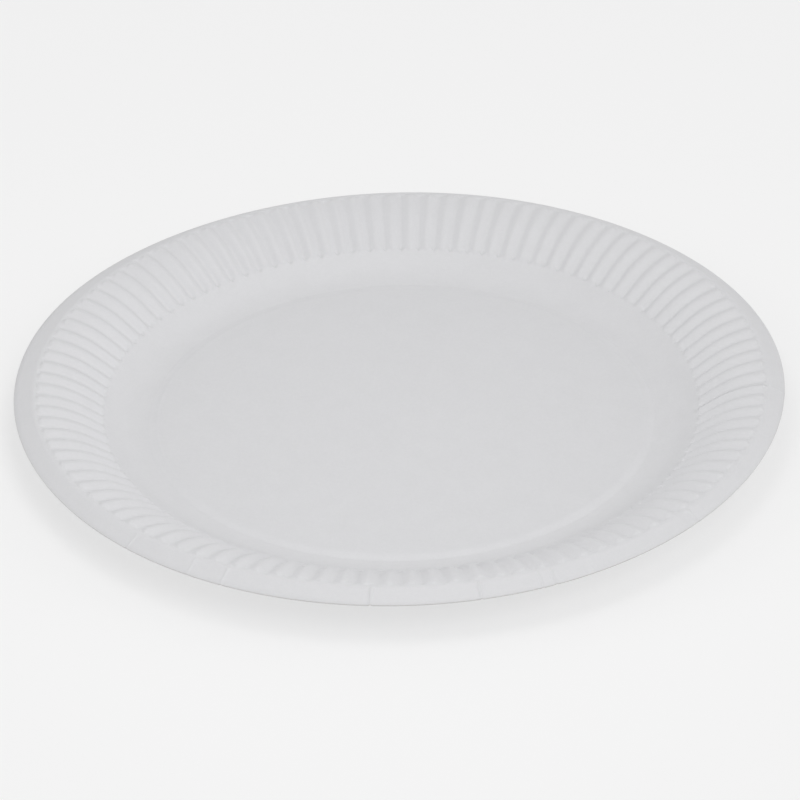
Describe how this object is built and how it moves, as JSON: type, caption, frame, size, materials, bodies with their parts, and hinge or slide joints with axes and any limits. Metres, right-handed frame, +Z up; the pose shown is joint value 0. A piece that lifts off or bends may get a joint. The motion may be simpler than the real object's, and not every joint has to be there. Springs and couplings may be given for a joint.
{
  "type": "paper plate",
  "caption": "Round disposable paper plate with a flat base, a curved wall, a fluted shoulder and a plain flange that droops outward.",
  "frame": {"origin": "centre of the plate at table level, in the plane of the crease on which it rests", "axes": "+Z up through the plate's centre; X and Y lie in the table plane, and X runs to the right in the picture"},
  "size_m": [0.23, 0.23, 0.0154],
  "materials": {
    "board": "matte"
  },
  "bodies": {
    "root": {"plate": "board"}
  },
  "joints": []
}
